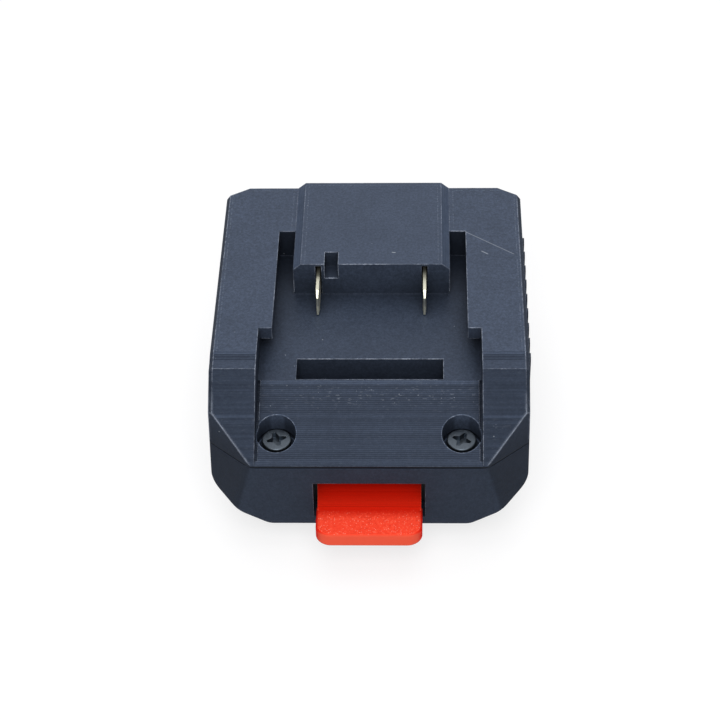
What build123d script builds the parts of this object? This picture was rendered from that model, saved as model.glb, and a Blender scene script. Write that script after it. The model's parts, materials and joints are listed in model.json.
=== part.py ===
from build123d import *
import os

# Tool battery adapter: a battery slides in on top, and the tool grips the slide underneath.
# Lengths are millimetres. X is to the right, Y away from the release button, Z up.
# Z = 0 is the underside of the tool slide, which the adapter rests on.
# Y = 0 is halfway between the front of the button's lip and the back wall.
# A place called front or end is a depth behind the front wall's face, unless it says otherwise.

# Body
body_width = 75.0
body_depth = 85.6
lower_shell_height = 18.5
battery_floor_height = 8.0
channel_depth = 7.8
block_crown = 1.7
shell_wall = 2.2
back_corner_x = 5.8
back_corner_y = 3.5

# Front corner facet, which leans outward towards the bottom
facet_seam_inset = 9.9
facet_seam_depth = 8.6
facet_lean_drop = 13.6
facet_lean_out = 3.4

# Lower shell section
bottom_flat_half = 23.8
bottom_bevel_height = 8.2
bottom_bevel_round = 4.0
lower_corner_round = 5.0
parting_bevel = 0.35

# Slopes at the front of the upper housing
front_edge_height = 0.5
flange_front = 22.9
shelf_slope_length = 2.6
shelf_slope_drop = 0.7
side_slope_gap = 2.5
side_slope_drop = 0.9
ramp_depth = 21.35
floor_edge_ease = 0.9
floor_edge_drop = 0.3
outer_edge_bevel = 0.9

# Battery slideway, with the terminal block at its back end
channel_half = 26.5
lip_inner_half = 23.3
lip_underside = 4.4
lip_front = 31.2
groove_end_wall = 17.7
block_length = 32.75
block_half = 19.27
block_shoulder = 1.97
foot_groove_width = 0.6
foot_groove_depth = 1.2
foot_groove_start = 1.2

# Latch pocket, key notch and blade slots in the slideway
pocket_half = 17.45
pocket_front = 21.6
pocket_length = 7.2
pocket_depth = 6.5
key_from_blade = 1.55
key_width = 3.3
key_length = 4.7
key_bottom = 5.1
key_wall = 0.8
blade_slot_width = 1.45
blade_slot_roof = 0.6

# Hollows in the upper housing
bay_side_gap = 1.5
bay_roof = 3.0
hood_from_blade = 3.35
hood_wall = 2.4
hood_roof = 1.6

# Battery side blades and their carrier
blade_spacing = 26.1
blade_thickness = 0.8
blade_reach = 8.35
blade_low = 0.4
blade_roof_gap = 0.8
blade_nose = 1.5
blade_nose_taper = 1.8
blade_tip_thickness = 0.45
tail_middle = 2.6
tab_margin = 0.2
carrier_length = 7.5
carrier_side_gap = 0.5
carrier_end_gap = 0.3
carrier_key_gap = 0.2
carrier_plate = 2.0
carrier_plate_margin = 2.6
carrier_screw_margin = 1.5
fit_gap = 0.05

# Tool slide under the lower shell
slide_height = 9.0
slide_front = 15.0
slide_back_gap = 5.1
slide_neck_half = 22.0
slide_rail_half = 26.0
slide_rail_height = 4.4
slide_lead_in = 2.0

# Tool side contacts and their carrier, placed from the end of the tool slide
contact_spacing = 24.0
contact_slot_width = 2.4
contact_slot_length = 16.5
contact_slot_roof = 7.6
contact_pocket_half = 3.5
contact_pocket_length = 15.0
contact_pocket_wall = 3.0
contact_pocket_floor = 1.2
contact_low = 1.8
contact_high = 8.0
contact_sheet = 0.5
contact_root_half = 1.4
contact_pinch_half = 0.55
contact_mouth_half = 1.15
contact_length = 12.5
contact_flare_length = 2.5
contact_mouth_gap = 0.5
holder_plate = 3.0
holder_front_margin = 2.0
holder_length = 18.5
holder_gap = 0.2
holder_screw_setback = 9.5
holder_screw_margin = 3.1
holder_side_margin = 2.4

# Latch, which the button carries up against two springs
latch_travel = 4.5
latch_gap = 0.3
window_headroom = 3.0
window_side_gap = 0.9
button_half = 12.2
lip_overhang = 0.3
lip_reach = 9.5
lip_thickness = 3.3
lip_corner_radius = 3.6
lip_edge_radius = 0.9
button_root_radius = 4.0
button_plate = 2.6
slider_overlap = 0.5
slider_depth = 10.0
slider_height = 7.9
shelf_inset = 5.2
shelf_depth = 8.0
shelf_thickness = 3.0
hook_half = 9.0
hook_setback = 2.9
hook_length = 6.0
hook_reach = 5.0
hook_nose = 1.6
guide_rib = 1.6
guide_drop = 3.5
spring_setback = 5.2
spring_side_gap = 0.55
spring_radius = 2.05
spring_wire = 0.2
spring_turns = 7
spring_socket_gap = 0.4
spring_socket_depth = 5.0
spring_post_gap = 0.35
spring_post_length = 2.2

# Screws and threaded inserts
front_screw_gap = 1.75
front_screw_y = 8.0
front_screw_turn_left = 18
front_screw_turn_right = -24
front_head_radius = 3.5
front_head_height = 2.5
front_shank_radius = 1.7
front_screw_length = 10.0
front_counterbore_gap = 1.15
front_seat_drop = 1.0
spigot_wall = 0.85
spigot_drop = 3.0
front_post_radius = 4.4
rear_screw_back_gap = 8.6
rear_rail_gap = 0.3
rear_head_radius = 2.8
rear_head_height = 2.0
rear_shank_radius = 1.45
rear_counterbore_gap = 0.4
rear_seat_height = 8.0
rear_post_radius = 4.8
small_head_radius = 1.9
small_head_height = 1.5
small_shank_radius = 0.95
small_screw_length = 6.5
latch_screw_inset = 2.7
latch_screw_setback = 4.5
latch_head_sink = 1.6
insert_wall = 0.55
insert_length = 5.5
insert_groove = 0.3
insert_groove_share = 0.25
insert_end_gap = 1.0
recess_arm_share = 0.1
recess_web_share = 0.24
recess_reach_share = 0.65
recess_depth_share = 0.62
head_round_share = 0.14
tip_chamfer_share = 0.5

# Leads inside, and the sleeves on their joints
lead_radius = 1.3
lead_bend = 4.5
lead_back_gap = 6.3
lead_run = 0.2
lead_joint_gap = 0.3
sleeve_wall = 0.4
sleeve_length = 6.0
sleeve_on_lead = 1.5
sleeve_end_gap = 0.4

# Grip bars raised on the right side
grip_bars = 9
grip_first = 24.4
grip_pitch = 5.4
grip_bar_width = 2.8
grip_proud = 0.5
grip_low_margin = 2.6
grip_high_margin = 2.4

overrun = 2.0

# Levels worked out from the sizes above
seam_z = slide_height + lower_shell_height
floor_z = seam_z + battery_floor_height
flange_top_z = floor_z + channel_depth
block_top_z = flange_top_z + block_crown
above_z = block_top_z + overrun
shell_floor_z = slide_height + shell_wall
bay_roof_z = floor_z - bay_roof
hood_top_z = block_top_z - hood_roof
blade_top_z = hood_top_z - blade_roof_gap
key_wall_z = floor_z + key_bottom - key_wall
carrier_top_z = key_wall_z - carrier_key_gap
tail_z = floor_z + tail_middle
lip_low_z = shell_floor_z + latch_gap
lip_high_z = lip_low_z + lip_thickness
window_top_z = lip_high_z + latch_travel + window_headroom
slider_top_z = lip_low_z + slider_height
shelf_top_z = slider_top_z + shelf_thickness
guide_top_z = seam_z - guide_drop
front_seat_z = seam_z - front_seat_drop
spigot_low_z = seam_z - spigot_drop
rear_seat_z = slide_height + rear_seat_height
holder_top_z = shell_floor_z + holder_plate
tag_top_z = holder_top_z + sleeve_end_gap + sleeve_length - sleeve_on_lead - lead_joint_gap
lead_level_z = tag_top_z + lead_joint_gap + sleeve_on_lead + lead_run + lead_bend

# Places along Y
front_y = (lip_reach - body_depth) / 2
back_y = front_y + body_depth
shelf_slope_front = flange_front - shelf_slope_length
side_slope_end = shelf_slope_front - side_slope_gap
pocket_end = pocket_front + pocket_length
bay_front = pocket_end + shell_wall
block_front = body_depth - block_length
groove_end = body_depth - groove_end_wall
blade_front = block_front - blade_reach
carrier_front = block_front + hood_wall + carrier_end_gap
blade_shoulder = carrier_front + carrier_length + carrier_end_gap
tail_end = blade_shoulder + sleeve_length - sleeve_on_lead + lead_joint_gap
lead_back = body_depth - lead_back_gap
slide_end = body_depth - slide_back_gap
contact_slot_front = slide_end - contact_slot_length
contact_pocket_end = slide_end - contact_pocket_wall
contact_pocket_front = contact_pocket_end - contact_pocket_length
contact_mouth = contact_pocket_end - contact_mouth_gap
contact_pinch = contact_mouth - contact_flare_length
contact_front = contact_mouth - contact_length
holder_front = contact_pocket_front - holder_front_margin
holder_screw_y = holder_front + holder_screw_setback
plate_front = shell_wall + latch_gap
slider_front = plate_front + button_plate
hook_front = slider_front + hook_setback
spring_y = slider_front + spring_setback
latch_screw_y = slider_front + latch_screw_setback
rear_screw_y = body_depth - rear_screw_back_gap

# Places across X, and radii
half_width = body_width / 2
block_top_half = block_half - block_shoulder
blade_x = blade_spacing / 2
key_left = blade_x - key_from_blade
key_right = key_left - key_width
hood_half = blade_x + hood_from_blade
carrier_half = hood_half - carrier_side_gap
carrier_screw_x = hood_half + carrier_screw_margin
carrier_plate_half = carrier_screw_x + carrier_plate_margin
bay_half = carrier_plate_half + bay_side_gap
contact_x = contact_spacing / 2
holder_screw_x = contact_x + contact_pocket_half + holder_screw_margin
holder_plate_half = holder_screw_x + holder_side_margin
tab_half = lead_radius - tab_margin
window_half = button_half + window_side_gap
lip_half = button_half + lip_overhang
slider_half = window_half + slider_overlap
guide_inner = slider_half + latch_gap
guide_outer = guide_inner + guide_rib
shelf_half = button_half - shelf_inset
latch_screw_x = shelf_half - latch_screw_inset
spring_socket_radius = spring_radius + spring_wire + spring_socket_gap
spring_post_radius = spring_radius - spring_wire - spring_post_gap
spring_x = shelf_half + spring_socket_radius + spring_side_gap
front_screw_x = guide_outer + front_post_radius + front_screw_gap
front_counterbore_radius = front_head_radius + front_counterbore_gap
spigot_radius = front_counterbore_radius + spigot_wall
rear_counterbore_radius = rear_head_radius + rear_counterbore_gap
rear_screw_x = slide_rail_half + rear_counterbore_radius + rear_rail_gap
rear_screw_length = seam_z + insert_length - insert_end_gap - rear_seat_z


def fy(depth):
    # A place given by its depth behind the front wall's face.
    return front_y + depth


def slab(x_low, x_high, y_low, y_high, z_low, z_high):
    middle = ((x_low + x_high) / 2, (y_low + y_high) / 2, (z_low + z_high) / 2)
    return Pos(*middle) * Box(x_high - x_low, y_high - y_low, z_high - z_low)


def rod(x, y, z_low, z_high, radius):
    return Pos(x, y, (z_low + z_high) / 2) * Cylinder(radius, z_high - z_low)


def prism_x(profile, x_low, x_high):
    face = Face(Wire.make_polygon([(x_low, y, z) for y, z in profile]))
    return extrude(face, amount=x_high - x_low, dir=(1, 0, 0))


def prism_y(profile, y_low, y_high):
    face = Face(Wire.make_polygon([(x, y_low, z) for x, z in profile]))
    return extrude(face, amount=y_high - y_low, dir=(0, 1, 0))


def prism_z(profile, z_low, z_high):
    face = Face(Wire.make_polygon([(x, y, z_low) for x, y in profile]))
    return extrude(face, amount=z_high - z_low, dir=(0, 0, 1))


def both_sides(shape):
    return shape + mirror(shape, Plane.YZ)


# Outer form shared by the two housings

def facet_plane(side, inset):
    seam_front = Vector(side * (half_width - facet_seam_inset), front_y, seam_z)
    seam_side = Vector(side * half_width, fy(facet_seam_depth), seam_z)
    lean = Vector(side * facet_lean_out, 0, -facet_lean_drop)
    outward = lean.cross(seam_side - seam_front).normalized() * side
    return Plane(origin=seam_front - outward * inset, z_dir=outward)


def body_form(inset, z_low, z_high):
    outline = [
        (-half_width, front_y),
        (half_width, front_y),
        (half_width, back_y - back_corner_y),
        (half_width - back_corner_x, back_y),
        (back_corner_x - half_width, back_y),
        (-half_width, back_y - back_corner_y),
    ]
    plan = Face(Wire.make_polygon([(x, y, z_low) for x, y in outline]))
    if inset:
        plan = offset(plan, amount=-inset, kind=Kind.INTERSECTION)
    form = extrude(plan, amount=z_high - z_low, dir=(0, 0, 1))
    for side in (-1, 1):
        form = split(form, bisect_by=facet_plane(side, inset), keep=Keep.BOTTOM)
    return form


def shell_section(inset):
    # The lower shell's section across the body: upright sides, then a long bevel to the flat.
    bevel_top_z = slide_height + bottom_bevel_height
    points = [
        (-half_width, above_z),
        (-half_width, bevel_top_z),
        (-bottom_flat_half, slide_height),
        (bottom_flat_half, slide_height),
        (half_width, bevel_top_z),
        (half_width, above_z),
    ]
    start_y = front_y - overrun
    section = Face(Wire.make_polygon([(x, start_y, z) for x, z in points]))
    corners = [v for v in section.vertices() if v.Z < bevel_top_z + parting_bevel]
    section = fillet(corners, radius=bottom_bevel_round)
    if inset:
        section = offset(section, amount=-inset, kind=Kind.INTERSECTION)
    return extrude(section, amount=body_depth + 2 * overrun, dir=(0, 1, 0))


# Screws and inserts

def cross_recess(head_radius, head_height):
    reach = head_radius * recess_reach_share
    half = head_radius * recess_arm_share
    web = head_radius * recess_web_share
    arm = [(reach, -half), (reach, half), (web, web)]
    points = []
    for _ in range(4):
        points += arm
        arm = [(-y, x) for x, y in arm]
    return prism_z(points, head_height * (1 - recess_depth_share), head_height + overrun)


def pan_screw(head_radius, head_height, shank_radius, length):
    # The head's seat is at the origin, with the head above it.
    head = Pos(0, 0, head_height / 2) * Cylinder(head_radius, head_height)
    rim = head.edges().group_by(Axis.Z)[-1]
    head = fillet(rim, radius=head_height * head_round_share)
    shank = Pos(0, 0, -length / 2) * Cylinder(shank_radius, length)
    shank = chamfer(shank.edges().group_by(Axis.Z)[0], length=shank_radius * tip_chamfer_share)
    return head + shank - cross_recess(head_radius, head_height)


def placed_pair(shape, x, y, z, flip=False, turns=(0, 0)):
    if flip:
        shape = Rot(180, 0, 0) * shape
    left = Pos(-x, y, z) * Rot(0, 0, turns[0]) * shape
    right = Pos(x, y, z) * Rot(0, 0, turns[1]) * shape
    return Compound(children=[left, right])


def insert_radius(shank_radius):
    return shank_radius + fit_gap + insert_wall


def thread_insert(shank_radius):
    # The insert's top face is at the origin.
    outside = insert_radius(shank_radius)
    middle = Pos(0, 0, -insert_length / 2)
    ring = Cylinder(outside + overrun, insert_length * insert_groove_share)
    ring = ring - Cylinder(outside - insert_groove, insert_length)
    bore = Cylinder(shank_radius + fit_gap, insert_length + overrun)
    return middle * (Cylinder(outside, insert_length) - ring - bore)


# Upper housing

def over_flange(end_y):
    # What lies above the side slopes and the flange's top, as far back as the given place.
    low = seam_z + front_edge_height
    return [
        (front_y - overrun, low),
        (front_y, low),
        (fy(side_slope_end), flange_top_z - side_slope_drop),
        (fy(shelf_slope_front), flange_top_z - shelf_slope_drop),
        (fy(flange_front), flange_top_z),
        (end_y, flange_top_z),
        (end_y, above_z),
        (front_y - overrun, above_z),
    ]


def front_slopes():
    low = seam_z + front_edge_height
    middle = [
        (front_y - overrun, low),
        (front_y, low),
        (fy(ramp_depth - floor_edge_ease), floor_z - floor_edge_drop),
        (fy(ramp_depth), floor_z),
        (fy(lip_front), floor_z),
        (fy(lip_front), above_z),
        (front_y - overrun, above_z),
    ]
    side = over_flange(fy(flange_front) + overrun)
    sides = prism_x(side, -half_width - overrun, half_width + overrun)
    return sides + prism_x(middle, -channel_half, channel_half)


def foot_grooves():
    # A fine groove runs down each side of the ramp, at the foot of the wall.
    rise = (floor_z - seam_z - front_edge_height) / ramp_depth
    start = fy(foot_groove_start)
    end = fy(ramp_depth)
    profile = [
        (start, seam_z + front_edge_height + rise * foot_groove_start - foot_groove_depth / 2),
        (end, floor_z - foot_groove_depth),
        (end, above_z),
        (start, above_z),
    ]
    return both_sides(prism_x(profile, channel_half - foot_groove_width, channel_half))


def slideway():
    mouth = slab(
        -lip_inner_half, lip_inner_half, fy(lip_front) - overrun, fy(block_front), floor_z, above_z
    )
    groove = slab(
        block_half, lip_inner_half, fy(block_front) - overrun, fy(groove_end), floor_z, above_z
    )
    undercut = slab(
        block_half, channel_half, fy(lip_front) - overrun, fy(groove_end), floor_z, floor_z + lip_underside
    )
    return mouth + both_sides(groove + undercut)


def terminal_block_crown():
    profile = [
        (-block_half, flange_top_z - overrun),
        (-block_half, flange_top_z),
        (-block_top_half, block_top_z),
        (block_top_half, block_top_z),
        (block_half, flange_top_z),
        (block_half, flange_top_z - overrun),
    ]
    return prism_y(profile, fy(block_front), back_y)


def outer_edge_bevels():
    # The space above the flange and its slope, drawn outward and down by equal steps.
    inner_x = half_width - outer_edge_bevel
    points = [(inner_x, y, z) for y, z in over_flange(back_y + overrun)]
    reach = Vector(outer_edge_bevel + overrun, 0, -outer_edge_bevel - overrun)
    face = Face(Wire.make_polygon(points))
    return both_sides(extrude(face, amount=reach.length, dir=reach))


def slideway_details():
    pocket = slab(
        -pocket_half, pocket_half, fy(pocket_front), fy(pocket_end),
        floor_z - pocket_depth, above_z,
    )
    key = slab(
        -key_left, -key_right, fy(block_front) - overrun, fy(block_front + key_length),
        floor_z + key_bottom, above_z,
    )
    slot = slab(
        blade_x - blade_slot_width / 2, blade_x + blade_slot_width / 2,
        fy(block_front) - overrun, fy(block_front + hood_wall) + overrun,
        floor_z + fit_gap, block_top_z - blade_slot_roof,
    )
    return pocket + key + both_sides(slot)


def upper_hollows():
    bay = slab(-bay_half, bay_half, fy(bay_front), back_y - shell_wall, seam_z - overrun, bay_roof_z)
    hood = slab(
        -hood_half, hood_half, fy(block_front + hood_wall), back_y - hood_wall,
        seam_z, hood_top_z,
    )
    return bay + hood


def key_pocket_wall():
    # The key notch keeps a wall of its own where it reaches into the hood.
    return slab(
        -key_left - key_wall, -key_right + key_wall,
        fy(block_front), fy(block_front + key_length) + key_wall,
        key_wall_z, hood_top_z,
    )


def grip_bar_row():
    low = seam_z + grip_low_margin
    high = flange_top_z - grip_high_margin
    bars = []
    for index in range(grip_bars):
        y = fy(grip_first + index * grip_pitch)
        plane = Plane(
            origin=(half_width - grip_proud, y, (low + high) / 2), x_dir=(0, 0, 1), z_dir=(1, 0, 0)
        )
        bars.append(extrude(plane * SlotOverall(high - low, grip_bar_width), amount=2 * grip_proud))
    return bars


def upper_housing():
    body = body_form(0, seam_z, flange_top_z) - front_slopes() - outer_edge_bevels()
    body = body + terminal_block_crown()
    body = body - slideway() - upper_hollows() + key_pocket_wall() - slideway_details() - foot_grooves()
    spigot = rod(front_screw_x, fy(front_screw_y), spigot_low_z, seam_z, spigot_radius)
    spring_post = rod(spring_x, fy(spring_y), seam_z - spring_post_length, seam_z, spring_post_radius)
    body = body + both_sides(spigot) + both_sides(spring_post)
    counterbore = rod(front_screw_x, fy(front_screw_y), front_seat_z, above_z, front_counterbore_radius)
    through = rod(
        front_screw_x, fy(front_screw_y), spigot_low_z - overrun, above_z, front_shank_radius + latch_gap
    )
    insert_hole = rod(
        rear_screw_x, fy(rear_screw_y), seam_z - overrun,
        seam_z + insert_length + insert_end_gap, insert_radius(rear_shank_radius),
    )
    pilot = rod(
        carrier_screw_x, fy(carrier_front + carrier_length / 2), bay_roof_z - overrun,
        bay_roof_z - carrier_plate + small_screw_length, small_shank_radius,
    )
    for cut in (counterbore, through, insert_hole, pilot):
        body = body - both_sides(cut)
    for bar in grip_bar_row():
        body = body + bar
    return body


# Lower housing with the tool slide

def tool_slide():
    start = fy(slide_front)
    end = fy(slide_end)
    neck = slab(-slide_neck_half, slide_neck_half, start, end, 0, shell_floor_z)
    rail = [
        (-slide_rail_half, start + slide_lead_in),
        (-slide_rail_half + slide_lead_in, start),
        (slide_rail_half - slide_lead_in, start),
        (slide_rail_half, start + slide_lead_in),
        (slide_rail_half, end - slide_lead_in),
        (slide_rail_half - slide_lead_in, end),
        (-slide_rail_half + slide_lead_in, end),
        (-slide_rail_half, end - slide_lead_in),
    ]
    return neck + prism_z(rail, 0, slide_rail_height)


def contact_cuts():
    pocket = slab(
        contact_x - contact_pocket_half, contact_x + contact_pocket_half,
        fy(contact_pocket_front), fy(contact_pocket_end),
        contact_pocket_floor, shell_floor_z + overrun,
    )
    slot = slab(
        contact_x - contact_slot_width / 2, contact_x + contact_slot_width / 2,
        fy(contact_slot_front), fy(slide_end) + overrun, -overrun, contact_slot_roof,
    )
    return both_sides(pocket + slot)


def latch_guides():
    back = fy(slider_front + slider_depth) + latch_gap
    box = slab(
        -guide_outer, guide_outer, fy(shell_wall) - overrun / 2, back + guide_rib,
        slide_height, guide_top_z,
    )
    return box - slab(-guide_inner, guide_inner, front_y, back, shell_floor_z - overrun, above_z)


def hook_opening():
    return slab(
        -hook_half - latch_gap, hook_half + latch_gap,
        fy(hook_front) - latch_gap, fy(hook_front + hook_length) + latch_gap,
        slide_height - overrun, shell_floor_z + overrun,
    )


def round_front_corners(shell):
    # Each edge where a facet meets the front wall leans outward at the facet's own angle.
    lean = Vector(facet_lean_out, 0, facet_lean_drop).normalized()
    edges = []
    for edge in shell.edges():
        along = edge % 0
        matches = abs(along.Z) * lean.Z + abs(along.X) * lean.X > 1 - fit_gap * fit_gap
        if matches and edge.center().Y < front_y + fit_gap:
            edges.append(edge)
    return fillet(edges, radius=lower_corner_round)


def lower_housing():
    outer = round_front_corners(body_form(0, slide_height, seam_z) & shell_section(0))
    outer = chamfer(outer.edges().group_by(Axis.Z)[-1], length=parting_bevel)
    cavity = body_form(shell_wall, shell_floor_z, seam_z + overrun) & shell_section(shell_wall)
    front_post = rod(front_screw_x, fy(front_screw_y), slide_height, spigot_low_z, front_post_radius)
    rear_post = rod(rear_screw_x, fy(rear_screw_y), slide_height, seam_z, rear_post_radius)
    body = outer - cavity + (both_sides(front_post) & outer) + (both_sides(rear_post) & outer)
    body = body + latch_guides() + tool_slide()
    window = slab(
        -window_half, window_half, front_y - overrun, fy(shell_wall) + overrun / 2,
        shell_floor_z, window_top_z,
    )
    insert_hole = rod(
        front_screw_x, fy(front_screw_y), spigot_low_z - insert_length,
        spigot_low_z + overrun, insert_radius(front_shank_radius),
    )
    front_hole = rod(
        front_screw_x, fy(front_screw_y), front_seat_z - front_screw_length - overrun / 2,
        spigot_low_z, front_shank_radius + fit_gap,
    )
    rear_counterbore = rod(rear_screw_x, fy(rear_screw_y), 0, rear_seat_z, rear_counterbore_radius)
    rear_hole = rod(
        rear_screw_x, fy(rear_screw_y), rear_seat_z - overrun, seam_z + overrun,
        rear_shank_radius + latch_gap,
    )
    holder_pilot = rod(
        holder_screw_x, fy(holder_screw_y), holder_top_z - small_screw_length,
        shell_floor_z + overrun, small_shank_radius,
    )
    for cut in (insert_hole, front_hole, rear_counterbore, rear_hole, holder_pilot):
        body = body - both_sides(cut)
    return body - window - hook_opening() - contact_cuts()


# Release button and latch

def release_button():
    lip = slab(-lip_half, lip_half, fy(-lip_reach), fy(-latch_gap), lip_low_z, lip_high_z)
    corners = lip.edges().filter_by(Axis.Z).group_by(Axis.Y)[0]
    lip = fillet(corners, radius=lip_corner_radius)
    rim = [e for e in lip.edges().group_by(Axis.Z)[-1] if e.center().Y < fy(-latch_gap - fit_gap)]
    lip = fillet(rim, radius=lip_edge_radius)
    stem = slab(-button_half, button_half, fy(-lip_edge_radius), fy(slider_front), lip_low_z, lip_high_z)
    plate = slab(-button_half, button_half, fy(plate_front), fy(slider_front), lip_low_z, shelf_top_z)
    root = slab(
        -button_half, button_half, fy(plate_front - button_root_radius), fy(plate_front),
        lip_high_z, lip_high_z + button_root_radius,
    )
    hollow = Pos(0, fy(plate_front - button_root_radius), lip_high_z + button_root_radius)
    root = root - hollow * Rot(0, 90, 0) * Cylinder(button_root_radius, body_width)
    shelf = slab(
        -shelf_half, shelf_half, fy(slider_front), fy(slider_front + shelf_depth),
        slider_top_z, shelf_top_z,
    )
    button = lip + stem + plate + root + shelf
    hole = rod(
        latch_screw_x, fy(latch_screw_y), slider_top_z - overrun, shelf_top_z,
        small_shank_radius + fit_gap,
    )
    head_sink = rod(
        latch_screw_x, fy(latch_screw_y), shelf_top_z - latch_head_sink,
        shelf_top_z + overrun, small_head_radius + latch_gap,
    )
    return button - both_sides(hole) - both_sides(head_sink)


def latch_slider():
    block = slab(
        -slider_half, slider_half, fy(slider_front), fy(slider_front + slider_depth),
        lip_low_z, slider_top_z,
    )
    hook_low = slide_height - hook_reach
    profile = [
        (fy(hook_front), lip_low_z),
        (fy(hook_front), hook_low),
        (fy(hook_front) + hook_nose, hook_low),
        (fy(hook_front + hook_length), slide_height - hook_nose / 2),
        (fy(hook_front + hook_length), lip_low_z),
    ]
    hook = prism_x(profile, -hook_half, hook_half)
    socket_z = slider_top_z - spring_socket_depth
    socket = rod(spring_x, fy(spring_y), socket_z, slider_top_z + overrun, spring_socket_radius)
    pilot = rod(
        latch_screw_x, fy(latch_screw_y), shelf_top_z - latch_head_sink - small_screw_length,
        slider_top_z + overrun, small_shank_radius,
    )
    return block + hook - both_sides(socket) - both_sides(pilot)


def latch_spring(side):
    low = slider_top_z - spring_socket_depth + spring_wire + fit_gap
    high = seam_z - spring_wire - fit_gap
    path = Helix(pitch=(high - low) / spring_turns, height=high - low, radius=spring_radius)
    section = Plane(origin=path @ 0, z_dir=path % 0) * Circle(spring_wire)
    return Pos(side * spring_x, fy(spring_y), low) * sweep(section, path=path, is_frenet=True)


# Electrical parts

def battery_blade(side):
    x = side * blade_x
    low = floor_z + blade_low
    high = blade_top_z
    profile = [
        (fy(blade_front), low),
        (fy(blade_front), high - blade_nose),
        (fy(blade_front + blade_nose), high),
        (fy(blade_shoulder), high),
        (fy(blade_shoulder), tail_z + tab_half),
        (fy(tail_end), tail_z + tab_half),
        (fy(tail_end), tail_z - tab_half),
        (fy(blade_shoulder), tail_z - tab_half),
        (fy(blade_shoulder), low),
    ]
    blade = prism_x(profile, x - blade_thickness / 2, x + blade_thickness / 2)
    plan = [
        (x - blade_tip_thickness / 2, fy(blade_front)),
        (x + blade_tip_thickness / 2, fy(blade_front)),
        (x + blade_thickness / 2, fy(blade_front + blade_nose_taper)),
        (x + blade_thickness / 2, fy(tail_end)),
        (x - blade_thickness / 2, fy(tail_end)),
        (x - blade_thickness / 2, fy(blade_front + blade_nose_taper)),
    ]
    return blade & prism_z(plan, floor_z, block_top_z)


def blade_carrier():
    front = fy(carrier_front)
    back = front + carrier_length
    plate = slab(
        -carrier_plate_half, carrier_plate_half, front, back, bay_roof_z - carrier_plate, bay_roof_z
    )
    tower = slab(-carrier_half, carrier_half, front, back, bay_roof_z, carrier_top_z)
    waist = slab(
        -blade_x + carrier_plate, blade_x - carrier_plate, front - overrun, back + overrun,
        tail_z - tab_half, above_z,
    )
    slot = slab(
        blade_x - blade_thickness / 2 - fit_gap, blade_x + blade_thickness / 2 + fit_gap,
        front - overrun, back + overrun, floor_z + blade_low - fit_gap, above_z,
    )
    hole = rod(
        carrier_screw_x, (front + back) / 2, bay_roof_z - carrier_plate - overrun,
        bay_roof_z + overrun, small_shank_radius + fit_gap,
    )
    return plate + tower - waist - both_sides(slot) - both_sides(hole)


def tool_contact(side):
    leaf = [
        (contact_root_half - contact_sheet, fy(contact_front)),
        (contact_root_half, fy(contact_front)),
        (contact_pinch_half + contact_sheet, fy(contact_pinch)),
        (contact_mouth_half + contact_sheet, fy(contact_mouth)),
        (contact_mouth_half, fy(contact_mouth)),
        (contact_pinch_half, fy(contact_pinch)),
    ]
    leaves = both_sides(prism_z(leaf, contact_low, contact_high))
    root = slab(
        -contact_root_half, contact_root_half, fy(contact_front), fy(contact_front) + contact_sheet,
        contact_low, contact_high,
    )
    tag = slab(
        -tab_half, tab_half, fy(contact_front), fy(contact_front) + contact_sheet, contact_low, tag_top_z
    )
    return Pos(side * contact_x, 0, 0) * (leaves + root + tag)


def contact_holder():
    front = fy(holder_front)
    plate = slab(
        -holder_plate_half, holder_plate_half, front, front + holder_length, shell_floor_z, holder_top_z
    )
    foot = slab(
        contact_x - contact_pocket_half + holder_gap, contact_x + contact_pocket_half - holder_gap,
        fy(contact_pocket_front) + holder_gap, fy(contact_pocket_end) - holder_gap,
        contact_high + holder_gap, shell_floor_z,
    )
    tag_hole = slab(
        contact_x - tab_half - fit_gap, contact_x + tab_half + fit_gap,
        fy(contact_front) - fit_gap, fy(contact_front) + contact_sheet + fit_gap,
        contact_low, holder_top_z + overrun,
    )
    hole = rod(
        holder_screw_x, fy(holder_screw_y), shell_floor_z - overrun, holder_top_z + overrun,
        small_shank_radius + fit_gap,
    )
    return plate + both_sides(foot) - both_sides(tag_hole) - both_sides(hole)


def lead_route(side):
    tag_y = fy(contact_front) + contact_sheet / 2
    return [
        (side * blade_x, fy(tail_end) + lead_joint_gap, tail_z),
        (side * blade_x, fy(lead_back), tail_z),
        (side * contact_x, fy(lead_back), lead_level_z),
        (side * contact_x, tag_y, lead_level_z),
        (side * contact_x, tag_y, tag_top_z + lead_joint_gap),
    ]


def lead(side):
    points = lead_route(side)
    path = FilletPolyline(*points, radius=lead_bend)
    section = Plane(origin=points[0], z_dir=(0, 1, 0)) * Circle(lead_radius)
    return sweep(section, path=path)


def sleeve_tube():
    # Lies along Z, with the lead's end at the origin and the lead above it.
    outside = lead_radius + fit_gap + sleeve_wall
    middle = Pos(0, 0, sleeve_on_lead - sleeve_length / 2)
    return middle * (
        Cylinder(outside, sleeve_length) - Cylinder(lead_radius + fit_gap, sleeve_length + overrun)
    )


def joint_sleeves(side):
    points = lead_route(side)
    on_blade = Pos(*points[0]) * Rot(-90, 0, 0) * sleeve_tube()
    on_contact = Pos(*points[-1]) * sleeve_tube()
    return Compound(children=[on_blade, on_contact])


def small_screw():
    return pan_screw(small_head_radius, small_head_height, small_shank_radius, small_screw_length)


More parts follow.
